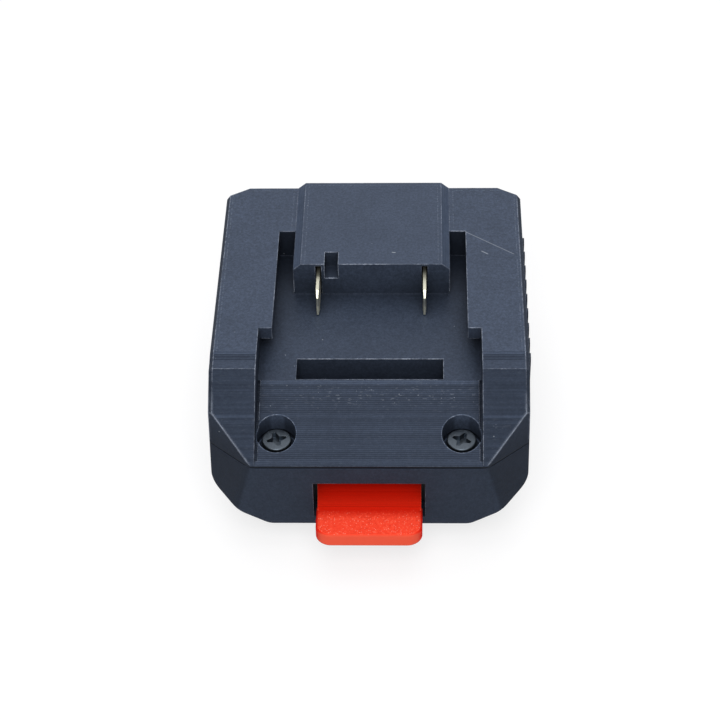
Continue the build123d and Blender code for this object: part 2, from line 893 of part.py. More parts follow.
def sub_parts():
    front_screw = pan_screw(front_head_radius, front_head_height, front_shank_radius, front_screw_length)
    front_turns = (front_screw_turn_left, front_screw_turn_right)
    rear_screw = pan_screw(rear_head_radius, rear_head_height, rear_shank_radius, rear_screw_length)
    carrier_mid = fy(carrier_front + carrier_length / 2)
    return {
        "upper_housing": upper_housing(),
        "lower_housing": lower_housing(),
        "release_button": release_button(),
        "latch_slider": latch_slider(),
        "latch_spring_left": latch_spring(-1),
        "latch_spring_right": latch_spring(1),
        "latch_screws": placed_pair(
            small_screw(), latch_screw_x, fy(latch_screw_y), shelf_top_z - latch_head_sink
        ),
        "battery_blade_left": battery_blade(-1),
        "battery_blade_right": battery_blade(1),
        "blade_carrier": blade_carrier(),
        "blade_carrier_screws": placed_pair(
            small_screw(), carrier_screw_x, carrier_mid, bay_roof_z - carrier_plate, flip=True
        ),
        "tool_contact_left": tool_contact(-1),
        "tool_contact_right": tool_contact(1),
        "contact_holder": contact_holder(),
        "contact_holder_screws": placed_pair(
            small_screw(), holder_screw_x, fy(holder_screw_y), holder_top_z
        ),
        "lead_left": lead(-1),
        "lead_right": lead(1),
        "joint_sleeves_left": joint_sleeves(-1),
        "joint_sleeves_right": joint_sleeves(1),
        "front_screws": placed_pair(
            front_screw, front_screw_x, fy(front_screw_y), front_seat_z, turns=front_turns
        ),
        "front_thread_inserts": placed_pair(
            thread_insert(front_shank_radius), front_screw_x, fy(front_screw_y), spigot_low_z
        ),
        "rear_screws": placed_pair(rear_screw, rear_screw_x, fy(rear_screw_y), rear_seat_z, flip=True),
        "rear_thread_inserts": placed_pair(
            thread_insert(rear_shank_radius), rear_screw_x, fy(rear_screw_y), seam_z + insert_length
        ),
    }


os.makedirs("parts", exist_ok=True)
for name, shape in sub_parts().items():
    export_step(shape, f"parts/{name}.step")
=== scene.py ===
import json
import math

import bpy
from mathutils import Matrix, Vector


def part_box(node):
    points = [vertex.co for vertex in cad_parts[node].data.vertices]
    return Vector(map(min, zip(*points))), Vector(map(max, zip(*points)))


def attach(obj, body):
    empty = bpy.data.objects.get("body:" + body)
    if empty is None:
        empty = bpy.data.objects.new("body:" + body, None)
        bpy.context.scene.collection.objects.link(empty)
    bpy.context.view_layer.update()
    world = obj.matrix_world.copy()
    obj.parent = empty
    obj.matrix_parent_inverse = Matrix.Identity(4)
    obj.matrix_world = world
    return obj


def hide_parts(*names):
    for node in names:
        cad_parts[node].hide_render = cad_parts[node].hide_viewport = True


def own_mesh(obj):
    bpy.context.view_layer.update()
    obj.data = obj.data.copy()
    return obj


# Tool battery adapter, dressed over its CAD frame. Objects are placed in metres.
# The finishes and the springs work in millimetres, and MILLI turns one into the other.

MILLI = 1000.0

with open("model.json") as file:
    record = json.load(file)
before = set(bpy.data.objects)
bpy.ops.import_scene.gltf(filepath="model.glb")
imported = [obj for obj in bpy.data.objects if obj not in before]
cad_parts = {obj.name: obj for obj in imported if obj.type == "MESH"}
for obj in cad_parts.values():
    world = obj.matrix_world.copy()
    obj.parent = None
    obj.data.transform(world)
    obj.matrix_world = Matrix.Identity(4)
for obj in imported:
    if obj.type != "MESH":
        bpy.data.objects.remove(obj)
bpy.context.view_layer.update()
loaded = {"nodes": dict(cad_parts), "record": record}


def corners(node):
    """The lowest and the highest corner of a CAD node, in millimetres."""
    low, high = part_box(node)
    return low * MILLI, high * MILLI


# Places on the housing, read from the frame, and the few sizes that its boxes don't give

FRONT_EDGE_HEIGHT = 0.5
BLOCK_CROWN = 1.7
CHANNEL_DEPTH = 7.8
CHANNEL_HALF = 26.5
INSERT_RADIUS = 2.3

shell_low, shell_high = corners("lower_housing")
insert_low, insert_high = corners("front_thread_inserts")
FRONT_Y = shell_low.y
BACK_Y = shell_high.y
HALF_WIDTH = shell_high.x
SEAM_Z = shell_high.z
RAMP_FOOT_Z = SEAM_Z + FRONT_EDGE_HEIGHT
BLOCK_Z = corners("upper_housing")[1].z
FLANGE_Z = BLOCK_Z - BLOCK_CROWN
FLOOR_Z = FLANGE_Z - CHANNEL_DEPTH
SCREW_X = insert_high.x - INSERT_RADIUS
SCREW_Y = (insert_low.y + insert_high.y) / 2


def show(thing):
    bpy.context.scene.collection.objects.link(thing)


# Camera, at the photograph's angle

CAMERA_PLACE = (0.011863, -0.378238, 0.368714)
CAMERA_YAW = math.radians(2.218)
CAMERA_PITCH = math.radians(42.091)
CAMERA_ROLL = math.radians(-1.488)
CAMERA_LENS = 104.01
CAMERA_SENSOR = 36.0
CAMERA_NEAREST = 0.01
CAMERA_FARTHEST = 20.0


def camera_turn():
    """Round by the yaw, down by the pitch, then rolled about the way it looks."""
    level = math.cos(CAMERA_PITCH)
    ahead = Vector((
        -math.sin(CAMERA_YAW) * level, math.cos(CAMERA_YAW) * level, -math.sin(CAMERA_PITCH)
    ))
    right = Vector((math.cos(CAMERA_YAW), math.sin(CAMERA_YAW), 0))
    up = right.cross(ahead)
    rolled_right = math.cos(CAMERA_ROLL) * right + math.sin(CAMERA_ROLL) * up
    rolled_up = math.cos(CAMERA_ROLL) * up - math.sin(CAMERA_ROLL) * right
    return Matrix((rolled_right, rolled_up, -ahead)).transposed().to_4x4()


def place_camera():
    data = bpy.data.cameras.new("camera")
    data.sensor_fit = "HORIZONTAL"
    data.sensor_width = CAMERA_SENSOR
    data.lens = CAMERA_LENS
    data.clip_start = CAMERA_NEAREST
    data.clip_end = CAMERA_FARTHEST
    camera = bpy.data.objects.new("camera", data)
    camera.matrix_world = Matrix.Translation(CAMERA_PLACE) @ camera_turn()
    show(camera)
    bpy.context.scene.camera = camera


# Shader nodes

CORNER_SAMPLES = 6
OPEN_SAMPLES = 4
OPEN_REACH = 2.5
OPEN_AIR = (0.72, 0.92)


class Shader:
    """A node material, with short calls for the nodes it is made of."""

    def __init__(self, name, tree=None):
        if tree is None:
            self.material = bpy.data.materials.new(name)
            self.material.use_nodes = True
            tree = self.material.node_tree
        self.tree = tree
        self.tree.nodes.clear()

    def put(self, socket, value):
        if isinstance(value, bpy.types.NodeSocket):
            self.tree.links.new(value, socket)
        elif value is not None:
            socket.default_value = value

    def node(self, kind, settings=(), **inputs):
        node = self.tree.nodes.new(kind)
        for key, value in dict(settings).items():
            setattr(node, key, value)
        for key, value in inputs.items():
            self.put(node.inputs[key.replace("_", " ")], value)
        return node

    def math(self, operation, *values):
        node = self.node("ShaderNodeMath", {"operation": operation})
        for socket, value in zip(node.inputs, values):
            self.put(socket, value)
        return node.outputs[0]

    def chain(self, operation, values):
        result = values[0]
        for value in values[1:]:
            result = self.math(operation, result, value)
        return result

    def add(self, *values):
        return self.chain("ADD", values)

    def times(self, *values):
        return self.chain("MULTIPLY", values)

    def highest(self, *values):
        return self.chain("MAXIMUM", values)

    def sub(self, first, second):
        return self.math("SUBTRACT", first, second)

    def unsigned(self, value):
        return self.math("ABSOLUTE", value)

    def shift(self, tone, mask, share):
        """The tone, paler by that share where the mask is 1, or darker if the share is negative."""
        return self.times(tone, self.add(1.0, self.times(mask, share)))

    def ramp(self, value, low, high, out_low, out_high):
        """From one output to the other as the value goes from low to high, with soft ends."""
        node = self.node("ShaderNodeMapRange", {"interpolation_type": "SMOOTHSTEP"})
        for key, number in (
            ("Value", value), ("From Min", low), ("From Max", high),
            ("To Min", out_low), ("To Max", out_high),
        ):
            self.put(node.inputs[key], number)
        return node.outputs["Result"]

    def rise(self, value, low, high):
        return self.ramp(value, low, high, 0.0, 1.0)

    def fall(self, value, low, high):
        return self.ramp(value, low, high, 1.0, 0.0)

    def rise_past(self, value, place, span):
        """Rises over a span that is measured from the place."""
        return self.rise(value, place + span[0], place + span[1])

    def fall_past(self, value, place, span):
        return self.fall(value, place + span[0], place + span[1])

    def between(self, value, low, high, soft):
        return self.times(
            self.rise(value, low - soft, low + soft), self.fall(value, high - soft, high + soft)
        )

    def spread(self, noise, half, out_low, out_high):
        """Noise lies mostly within half of 0.5. It is spread over the outputs."""
        return self.ramp(noise, 0.5 - half, 0.5 + half, out_low, out_high)

    def vector(self, operation, first, second=None, scale=None):
        node = self.node("ShaderNodeVectorMath", {"operation": operation})
        self.put(node.inputs[0], first)
        self.put(node.inputs[1], second)
        if scale is not None:
            self.put(node.inputs["Scale"], scale)
        return node.outputs["Value"] if operation in ("DOT_PRODUCT", "LENGTH") else node.outputs[0]

    def stretched(self, place, shares):
        return self.vector("MULTIPLY", place, shares)

    def apart(self, vector):
        node = self.node("ShaderNodeSeparateXYZ")
        self.put(node.inputs[0], vector)
        return tuple(node.outputs)

    def together(self, *values):
        node = self.node("ShaderNodeCombineXYZ")
        for socket, value in zip(node.inputs, values):
            self.put(socket, value)
        return node.outputs[0]

    def mix(self, factor, first, second):
        """From the first colour to the second, a plain one, as the factor goes from 0 to 1."""
        node = self.node("ShaderNodeMix", {"data_type": "RGBA"})
        self.put(node.inputs[0], factor)
        for socket, colour in zip(node.inputs[6:8], (first, second)):
            self.put(socket, colour + (1,) if isinstance(colour, tuple) else colour)
        return node.outputs[2]

    def shade(self, colour, brightness):
        return self.vector("SCALE", colour, scale=brightness)

    def noise(self, place, scale, detail=2.0, roughness=0.5):
        node = self.node("ShaderNodeTexNoise")
        for key, value in (
            ("Vector", place), ("Scale", scale), ("Detail", detail), ("Roughness", roughness),
        ):
            self.put(node.inputs[key], value)
        return node.outputs["Fac"]

    def cells(self, place, scale):
        """The distance from the middle of each cell, and a random number for each."""
        node = self.node("ShaderNodeTexVoronoi", Vector=place, Scale=scale)
        return node.outputs["Distance"], self.apart(node.outputs["Color"])[0]

    def random(self, value):
        return self.node("ShaderNodeTexWhiteNoise", {"noise_dimensions": "1D"}, W=value).outputs["Value"]

    def coordinates(self):
        """The place on the object in millimetres, and the way the surface faces."""
        source = self.node("ShaderNodeTexCoord")
        place = self.vector("SCALE", source.outputs["Object"], scale=MILLI)
        return place, source.outputs["Normal"]

    def openness(self, distance, samples):
        """1 in the open, falling to 0 in corners and recesses narrower than the distance."""
        node = self.node("ShaderNodeAmbientOcclusion", {"samples": samples})
        node.inputs["Distance"].default_value = distance / MILLI
        return node.outputs["AO"]

    def edges(self, radius, low, high):
        """A mask that is 1 on outside edges, and the normal rounded over that radius."""
        bevel = self.node("ShaderNodeBevel", {"samples": CORNER_SAMPLES})
        bevel.inputs["Radius"].default_value = radius / MILLI
        rounded = bevel.outputs[0]
        true = self.node("ShaderNodeNewGeometry").outputs["Normal"]
        bend = self.sub(1.0, self.vector("DOT_PRODUCT", rounded, true))
        outside = self.rise(self.openness(OPEN_REACH * radius, OPEN_SAMPLES), *OPEN_AIR)
        return self.times(self.rise(bend, low, high), outside), rounded

    def bump(self, height, depth, normal=None):
        node = self.node("ShaderNodeBump")
        node.inputs["Distance"].default_value = depth / MILLI
        self.put(node.inputs["Height"], height)
        self.put(node.inputs["Normal"], normal)
        return node.outputs[0]

    def surface(self, colour, roughness, normal=None, **fixed):
        """The finished material. The fixed values are the same all over it."""
        shader = self.node("ShaderNodeBsdfPrincipled")
        self.put(shader.inputs["Base Color"], colour)
        self.put(shader.inputs["Roughness"], roughness)
        self.put(shader.inputs["Normal"], normal)
        for key, value in fixed.items():
            shader.inputs[key.replace("_", " ")].default_value = value
        self.finish("ShaderNodeOutputMaterial", shader.outputs[0])
        return self.material

    def finish(self, kind, result):
        out = self.node(kind)
        self.tree.links.new(result, out.inputs["Surface"])

    def blend_shaders(self, factor, first, second):
        mixed = self.node("ShaderNodeMixShader")
        for socket, value in zip(mixed.inputs, (factor, first, second)):
            self.put(socket, value)
        return mixed.outputs[0]


# Printed plastic. Sharp, soft and broad are how far a mask fades on each side of its limits.
# A noise is its scale, detail and roughness.

LAYER = 0.18
LAYER_WANDER = 0.05
WANDER_NOISE = (0.35, 1.0)
BEAD = 0.42
BEAD_MEAN = 0.66
WALL_RELIEF = 0.35
PASS_RELIEF = 0.16
SLOPE_LAYER_TONE = 0.26
LAYER_TONE = 0.06
TREAD_LIGHT_AND_RISER_SHADE = 0.66
WALL_BEAD_SHADE = 0.10
PASS_BEAD_SHADE = 0.05
SHARP = 0.05
SOFT = 0.1
BROAD = 0.3
PICK_SPAN = (0.0, 0.004)
SPECK_CORE_SHARE = 0.6


class Spot:
    """Where a point of the printed plastic is, and which kind of face it is on."""

    def __init__(self, s):
        self.place, normal = s.coordinates()
        self.x, self.y, self.z = s.apart(self.place)
        self.side = s.unsigned(self.x)
        self.facing = s.apart(normal)
        self.lean = s.unsigned(self.facing[0])
        self.up = s.unsigned(self.facing[2])
        self.flat = s.rise(self.up, 0.975, 0.995)
        self.slope = s.between(self.up, 0.3, 0.985, 0.01)
        self.wall = s.fall(self.up, 0.2, 0.35)


def arch(s, share):
    """0 at both ends of a layer or a pass, and 1 in the middle."""
    return s.times(share, s.sub(1.0, share), 4.0)


def layer_marks(s, spot):
    """The height and the tone of the layers on slopes and walls, and of the passes on flat faces. The
    tone holds painted light and shade on the steps and beads.
    """
    wander = s.times(s.sub(s.noise(spot.place, *WANDER_NOISE), 0.5), LAYER_WANDER)
    layers = s.math("DIVIDE", s.add(spot.z, wander), LAYER)
    share = s.math("FRACT", layers)
    bead = arch(s, share)
    diagonal = s.times(s.add(spot.x, spot.y), math.sqrt(0.5))
    pass_bead = arch(s, s.math("FRACT", s.math("DIVIDE", diagonal, BEAD)))
    height = s.add(
        s.times(bead, spot.wall, WALL_RELIEF),
        s.times(share, spot.slope),
        s.times(pass_bead, spot.flat, PASS_RELIEF),
    )
    each_layer = s.sub(s.random(s.math("FLOOR", layers)), 0.5)
    tread_light_and_shade = s.sub(s.rise(share, 0.1, 0.9), 0.5)
    # Painted light and shade: the upper part of each step on the slopes is paler and the lower part
    # darker, and the beads on walls and flat faces are darker where they meet.
    tone = s.add(
        s.times(each_layer, s.add(s.times(spot.slope, SLOPE_LAYER_TONE), LAYER_TONE)),
        s.times(tread_light_and_shade, spot.slope, TREAD_LIGHT_AND_RISER_SHADE),
        s.times(s.sub(bead, BEAD_MEAN), spot.wall, WALL_BEAD_SHADE),
        s.times(s.sub(pass_bead, BEAD_MEAN), spot.flat, PASS_BEAD_SHADE),
    )
    return height, s.add(1.0, tone)


def dust_specks(s, place, spacing, share, size):
    """Small bright specks of that size, in that share of the cells."""
    distance, pick = s.cells(place, 1.0 / spacing)
    chosen = s.rise_past(pick, 1.0 - share, PICK_SPAN)
    return s.times(s.fall(distance, size * SPECK_CORE_SHARE / spacing, size / spacing), chosen)


def scratch(s, spot, start, end, width):
    """A straight scratch between two places on a flat face, seen from above."""
    run_x = end[0] - start[0]
    run_y = end[1] - start[1]
    length = math.hypot(run_x, run_y)
    from_x = s.sub(spot.x, start[0])
    from_y = s.sub(spot.y, start[1])
    along = s.add(s.times(from_x, run_x / length), s.times(from_y, run_y / length))
    across = s.sub(s.times(from_x, run_y / length), s.times(from_y, run_x / length))
    return s.times(
        s.between(along, 0.0, length, width), s.between(across, -width / 2, width / 2, width / 2)
    )


# Places on the housing, each a mask that is 1 there and 0 elsewhere. A span is a pair of lengths
# from a face of the housing, or of ways that the surface faces.

COUNTERBORE_WALL = (4.3, 4.8)
COUNTERBORE_RIM = (4.4, 5.3)
COUNTERBORE_DROP = 1.2
GROOVE_SIDES = (19.0, 27.5)
GROOVE_FRONT = (10.0, 27.0)
GROOVE_BACK = (36.0, 38.0)
GROOVE_FLOOR_TONE = 0.9
SKIN_SPAN = (-0.3, -0.1)
BEVEL_SPAN = (-0.1, 0.1)
BEVEL_LEAN = (0.3, 0.95)
CORNER_LEAN = (0.35, 0.9)
CORNER_TOP_SPAN = (-0.6, 0.0)
FRONT_WALL_SPAN = (20.0, 30.0)
OUTER_SLOPE_SPAN = (-0.3, 0.1)
CREST_DROP = 0.4
CREST_RISE = 0.1
BODY_TONE = 0.78
SKIN_TONE = 1.03
SLOPE_SHADE = 0.18
FRONT_WALL_SHADE = 0.28
CORNER_REACH = 11.0
CORNER_SHADE = (0.28, 0.88, 0.46, 1.0)


def front_screw_reach(s, spot):
    """How far a place lies from the axis of the nearer front screw."""
    across = s.sub(spot.side, SCREW_X)
    return s.vector("LENGTH", s.together(across, s.sub(spot.y, SCREW_Y), 0.0))


def on_skin(s, spot, height):
    return s.rise_past(spot.z, height, SKIN_SPAN)


def top_skins(s, spot):
    return s.times(on_skin(s, spot, FLANGE_Z), s.rise(spot.up, 0.4, 0.6))


# Painted light: the slanting bevels round the top skins are made paler, as bright as the lit tops.
def lit_skin_bevels(s, spot):
    lean = s.between(spot.lean, *BEVEL_LEAN, SHARP)
    return s.times(lean, s.rise_past(spot.z, FLANGE_Z, BEVEL_SPAN))


def shaded_slanting_walls(s, spot):
    """The steep slanting faces of the corners, below the top skins, which take painted shade."""
    lean = s.between(spot.lean, *CORNER_LEAN, SOFT)
    return s.times(lean, s.fall(spot.up, 0.5, 0.7), s.fall_past(spot.z, FLANGE_Z, CORNER_TOP_SPAN))


def shaded_front_walls(s, spot):
    """The upright faces beside the ramp, which take painted shade."""
    front = s.fall_past(spot.y, FRONT_Y, FRONT_WALL_SPAN)
    return s.times(s.fall(spot.up, 0.3, 0.45), s.fall(spot.z, SEAM_Z, FLOOR_Z), front)


# Painted light: the walls of the front counterbores are made paler.
def lit_counterbore_walls(s, spot):
    wall = s.between(front_screw_reach(s, spot), *COUNTERBORE_WALL, SHARP)
    return s.times(wall, s.between(spot.z, SEAM_Z - COUNTERBORE_DROP, FLOOR_Z, SOFT))


def shaded_rail_grooves(s, spot):
    """The channel under the lips beside the block, painted darker as shade where little light comes in.
    """
    inside = s.between(spot.side, *GROOVE_SIDES, BROAD)
    height = s.between(spot.z, FLOOR_Z + SKIN_SPAN[0], FLANGE_Z + SKIN_SPAN[0], SOFT)
    floor = s.ramp(spot.up, 0.3, 0.5, 1.0, GROOVE_FLOOR_TONE)
    return s.times(inside, height, floor, s.rise(spot.y, *GROOVE_FRONT), s.fall(spot.y, *GROOVE_BACK))


def outer_slopes(s, spot):
    return s.times(s.rise_past(spot.side, CHANNEL_HALF, OUTER_SLOPE_SPAN), spot.slope)


# Painted highlight: a pale band along the crest where the ramp meets the floor.
def ramp_crest_highlight(s, spot):
    return s.times(s.between(spot.z, FLOOR_Z - CREST_DROP, FLOOR_Z + CREST_RISE, SHARP), spot.slope)


# Painted light on the bevels, the counterbore walls and the ramp's crest, painted shade on the slanting
# walls and in the rail grooves, and the outer slopes a little darker.
HOUSING_SHADES = (
    (lit_skin_bevels, 0.40),
    (shaded_slanting_walls, -0.42),
    (shaded_rail_grooves, -0.5),
    (outer_slopes, -0.04),
    (lit_counterbore_walls, 1.5),
    (ramp_crest_highlight, 0.5),
)


def housing_tone(s, spot):
    """The top skins are the palest and the slopes darker. Painted shade darkens the upright walls beside
    the ramp and the corners and recesses, and the table above adds painted light and shade.
    """
    # The slopes are darker, and the upright front walls take painted shade.
    shade = s.add(s.times(spot.slope, SLOPE_SHADE), s.times(shaded_front_walls(s, spot), FRONT_WALL_SHADE))
    tone = s.sub(BODY_TONE, shade)
    tone = s.add(tone, s.times(top_skins(s, spot), s.sub(SKIN_TONE, tone)))
    for mask, share in HOUSING_SHADES:
        tone = s.shift(tone, mask(s, spot), share)
    # Painted shade in corners and recesses.
    return s.times(tone, s.ramp(s.openness(CORNER_REACH, CORNER_SAMPLES), *CORNER_SHADE))


# Wear, print lines and painted light and shade on the housing

STREAK_STRETCH = (0.8, 0.5, 9.0)
STREAK_NOISE = (1.0, 2.0, 0.6)
FAINT_STREAKS = 0.04
BAND_STREAKS = 0.15
BAND_DROP = (2.2, 0.5)
BAND_FADE = 0.7
BAND_MIDDLE_X = 4.0
BAND_REACH = (12.0, 24.0)
BAND_END_SHARE = 0.25
DUST_STRENGTH = 0.7
# Dust is its spacing, the share of places that hold a speck, and the speck's radius.
WIDE_DUST = (2.9, 0.05, 0.16)
FINE_DUST = (1.5, 0.012, 0.11)
BAND_DUST = (0.5, 0.05, 0.14)
# A scratch is its start, its end, its width and its strength.
SCRATCHES = (
    ((23.42, 29.47), (35.11, 20.75), 0.17, 0.45),
    ((27.12, 21.95), (28.70, 20.77), 0.22, 0.6),
    ((5.03, 19.40), (5.89, 19.28), 0.22, 0.8),
)
LINE_HALF = 0.1
BLOCK_LINE_X = 16.4
GROOVE_LINE_X = 20.3
GROOVE_LINE_START = (30.4, 31.0)
OUTER_LINE_INSET = 1.65
BACK_LINE_INSET = 1.0
LINE_DOTS = 2.0
SEAM_DROP = 0.28
SEAM_RISE = 0.12
# An edge is its radius, and how far the rounded normal bends where the wear, or on the corners the
# painted highlight, starts and is full.
HOUSING_EDGE = (0.36, 0.012, 0.065)
CORNER_HIGHLIGHT_EDGE = (0.85, 0.006, 0.035)
HIGHLIGHT_SIDE_SPAN = (0.3, 0.9)
HIGHLIGHT_FRONT_SPAN = (12.0, 14.0)
HIGHLIGHT_FOOT_SPAN = (0.0, 0.6)
HIGHLIGHT_PATCHES = 0.9
WORN_PATCHES = (0.8, 3.0, 0.75)
WORN_REGIONS = 0.12
RIM_PATCHES = 1.3
ABOVE_FOOT_SPAN = (0.06, 0.22)
ABOVE_SEAM_SPAN = (0.12, 0.20)
BELOW_SEAM_SPAN = (-0.9, -0.6)
NEXT_TO_FOOT_WEAR = 0.12
LOWER_SHELL_WEAR = 0.3


def worn_marks(s, spot):
    """Fine pale marks: streaks on the slopes, dust, and the scratches on the top."""
    wisps = s.noise(s.stretched(spot.place, STREAK_STRETCH), *STREAK_NOISE)
    streaks = s.times(s.rise(wisps, 0.60, 0.70), spot.slope)
    band = s.between(spot.z, FLOOR_Z - BAND_DROP[0], FLOOR_Z - BAND_DROP[1], BAND_FADE)
    from_middle = s.unsigned(s.sub(spot.x, BAND_MIDDLE_X))
    band = s.times(band, s.ramp(from_middle, *BAND_REACH, 1.0, BAND_END_SHARE))
    specks = s.highest(
        dust_specks(s, spot.place, *WIDE_DUST),
        dust_specks(s, spot.place, *FINE_DUST),
        s.times(dust_specks(s, spot.place, *BAND_DUST), band, spot.slope),
    )
    streaks = s.times(streaks, s.add(FAINT_STREAKS, s.times(band, BAND_STREAKS)))
    marks = s.highest(s.times(specks, DUST_STRENGTH), streaks)
    for start, end, width, strength in SCRATCHES:
        marks = s.highest(marks, s.times(scratch(s, spot, start, end, width), spot.flat, strength))
    return marks


def corner_highlights(s, spot):
    """A broad painted highlight along the rounded sloping corners at the front."""
    corner, _ = s.edges(*CORNER_HIGHLIGHT_EDGE)
    side = s.rise_past(spot.side, CHANNEL_HALF, HIGHLIGHT_SIDE_SPAN)
    front = s.fall_past(spot.y, FRONT_Y, HIGHLIGHT_FRONT_SPAN)
    above = s.rise_past(spot.z, RAMP_FOOT_Z, HIGHLIGHT_FOOT_SPAN)
    uneven = s.ramp(s.noise(spot.place, HIGHLIGHT_PATCHES), 0.3, 0.6, 0.5, 1.0)
    return s.times(corner, side, front, above, uneven)


def line_at(s, value, place):
    return s.between(value, place - LINE_HALF, place + LINE_HALF, SOFT)


def perimeter_lines(s, spot):
    """The outline passes that show as dotted lines just inside the edges of the top skins."""
    on_block = on_skin(s, spot, BLOCK_Z)
    on_flange = s.times(on_skin(s, spot, FLANGE_Z), s.sub(1.0, on_block))
    beside_groove = s.times(on_flange, s.rise(spot.y, *GROOVE_LINE_START))
    lines = s.highest(
        s.times(line_at(s, spot.side, BLOCK_LINE_X), on_block),
        s.times(line_at(s, spot.y, BACK_Y - BACK_LINE_INSET), spot.flat),
        s.times(line_at(s, spot.side, HALF_WIDTH - OUTER_LINE_INSET), on_flange),
        s.times(line_at(s, spot.side, GROOVE_LINE_X), beside_groove),
    )
    return s.times(lines, spot.flat, s.rise(s.noise(spot.place, LINE_DOTS), 0.45, 0.62))


def seam_shadow(s, spot):
    """The dark line between the shells, and under the ramp's foot at the front."""
    seam = s.between(spot.z, SEAM_Z - SEAM_DROP, SEAM_Z + SEAM_RISE, SHARP)
    facing_front = s.fall(spot.facing[1], -0.95, -0.8)
    under_ramp = s.times(s.between(spot.z, SEAM_Z, RAMP_FOOT_Z - SHARP, SHARP), facing_front)
    return s.highest(seam, under_ramp)


def worn_edges(s, spot, edge):
    """The edges' pale wear, patchy all over, less round the front screws and next to the seam."""
    worn = s.times(edge, s.ramp(s.noise(spot.place, *WORN_PATCHES), 0.34, 0.60, 0.2, 1.0))
    worn = s.times(worn, s.ramp(s.noise(spot.place, WORN_REGIONS), 0.38, 0.58, 0.35, 1.0))
    rim = s.between(front_screw_reach(s, spot), *COUNTERBORE_RIM, SOFT)
    rim = s.times(rim, s.ramp(s.noise(spot.place, RIM_PATCHES), 0.42, 0.60, 0.85, 0.25))
    foot_low, foot_high = (RAMP_FOOT_Z + length for length in ABOVE_FOOT_SPAN)
    seam_low, seam_high = (SEAM_Z + length for length in BELOW_SEAM_SPAN)
    above = s.ramp(spot.z, foot_low, foot_high, NEXT_TO_FOOT_WEAR, 1.0)
    above = s.times(above, s.rise_past(spot.z, SEAM_Z, ABOVE_SEAM_SPAN))
    below = s.ramp(spot.z, seam_low, seam_high, LOWER_SHELL_WEAR, 0.0)
    return s.times(worn, s.sub(1.0, rim), s.add(above, below))


# Housing and button

HOUSING_BLUE = (0.0480, 0.0635, 0.0980)
WORN_BLUE = (0.44, 0.49, 0.60)
CORNER_HIGHLIGHT_BLUE = (0.30, 0.34, 0.42)
LINE_BLUE = (0.22, 0.26, 0.33)
DUST_GREY = (0.42, 0.46, 0.52)
BLUE_GLOSS = (0.60, 0.72, 1.0, 1)
PRINT_RELIEF = 0.05
GRAIN_NOISE = (5.0, 2.0, 0.6)
FINE_NOISE = (1.6, 3.0, 0.75)
BLOTCH_NOISE = (0.7, 3.0, 0.6)
PATCH_NOISE = (0.09, 3.0)
SPECKLE_TONE = 0.22
SLOPE_SPECKLE_SHARE = 0.55
SEAM_SHADE = -0.88
UPRIGHT_ROUGHNESS = 0.22

BUTTON_RED = (0.97, 0.014, 0.003)
ROOT_RED = (0.98, 0.018, 0.005)
LEDGE_RED = (1.0, 0.066, 0.031)
LIT_NOSE_RED = (1.0, 0.125, 0.066)
WORN_RED = (1.0, 0.15, 0.08)
CRUMB_RED = (1.0, 0.22, 0.12)
SPARK_RED = (1.0, 0.50, 0.38)
RED_GLOSS = (1.0, 0.32, 0.15, 1)
PIT_NOISE = (2.2, 4.0, 0.75)
PIT_MEAN = 0.46
SPARKS = (0.42, 0.30, 0.13)
BUTTON_EDGE = (0.3, 0.02, 0.16)
BUTTON_ROOT = (15.0, 18.5)
BUTTON_RISE = (14.7, 20.5)
LEDGE_SPAN = (-4.2, -0.8)
LEDGE_RAGGED = 0.8
NOSE_SPAN = (-8.0, -7.0)
WINDOW_SPAN = (-5.0, 0.5)
WINDOW_TONE = 0.56
PLATE_SPAN = (-2.0, -1.0)
PLATE_TONES = (1.05, 0.65)
BUTTON_REACH = 7.0
BUTTON_SHADE = (0.2, 0.9, 0.55, 1.0)


def housing_plastic():
    s = Shader("housing_plastic")
    spot = Spot(s)
    height, tone = layer_marks(s, spot)
    edge, rounded = s.edges(*HOUSING_EDGE)
    fine = s.noise(spot.place, *FINE_NOISE)
    grain = s.noise(spot.place, *GRAIN_NOISE)
    speckle = s.sub(s.spread(fine, 0.2, 0.0, 2 * SPECKLE_TONE), SPECKLE_TONE)
    speckle = s.times(speckle, s.ramp(spot.slope, 0.0, 1.0, 1.0, SLOPE_SPECKLE_SHARE))
    level = s.times(
        tone, housing_tone(s, spot),
        s.spread(s.noise(spot.place, *PATCH_NOISE), 0.2, 0.95, 1.05),
        s.spread(s.noise(spot.place, *BLOTCH_NOISE), 0.2, 0.93, 1.07),
        s.add(1.0, speckle),
        s.spread(grain, 0.25, 0.86, 1.14),
    )
    level = s.shift(level, seam_shadow(s, spot), SEAM_SHADE)
    colour = s.shade(HOUSING_BLUE, level)
    colour = s.mix(worn_edges(s, spot, edge), colour, WORN_BLUE)
    # Painted highlight along the sloping front corners.
    colour = s.mix(s.times(corner_highlights(s, spot), 0.6), colour, CORNER_HIGHLIGHT_BLUE)
    colour = s.mix(s.times(perimeter_lines(s, spot), 0.35), colour, LINE_BLUE)
    colour = s.mix(worn_marks(s, spot), colour, DUST_GREY)
    rough = s.add(s.spread(fine, 0.3, 0.42, 0.56), s.ramp(spot.up, 0.75, 0.93, UPRIGHT_ROUGHNESS, 0.0))
    relief = s.add(height, s.times(fine, 0.12), s.times(grain, 0.08))
    return s.surface(colour, rough, s.bump(relief, PRINT_RELIEF, rounded),
                     Specular_IOR_Level=0.25, Specular_Tint=BLUE_GLOSS)


def button_ledge(s, spot):
    """The top of the lip, outside the housing, with a ragged start."""
    ragged = s.times(s.sub(s.noise(spot.place, 0.8), 0.5), LEDGE_RAGGED)
    outside = s.fall_past(s.add(spot.y, ragged), FRONT_Y, LEDGE_SPAN)
    return s.times(s.rise(spot.facing[2], 0.72, 0.95), outside)


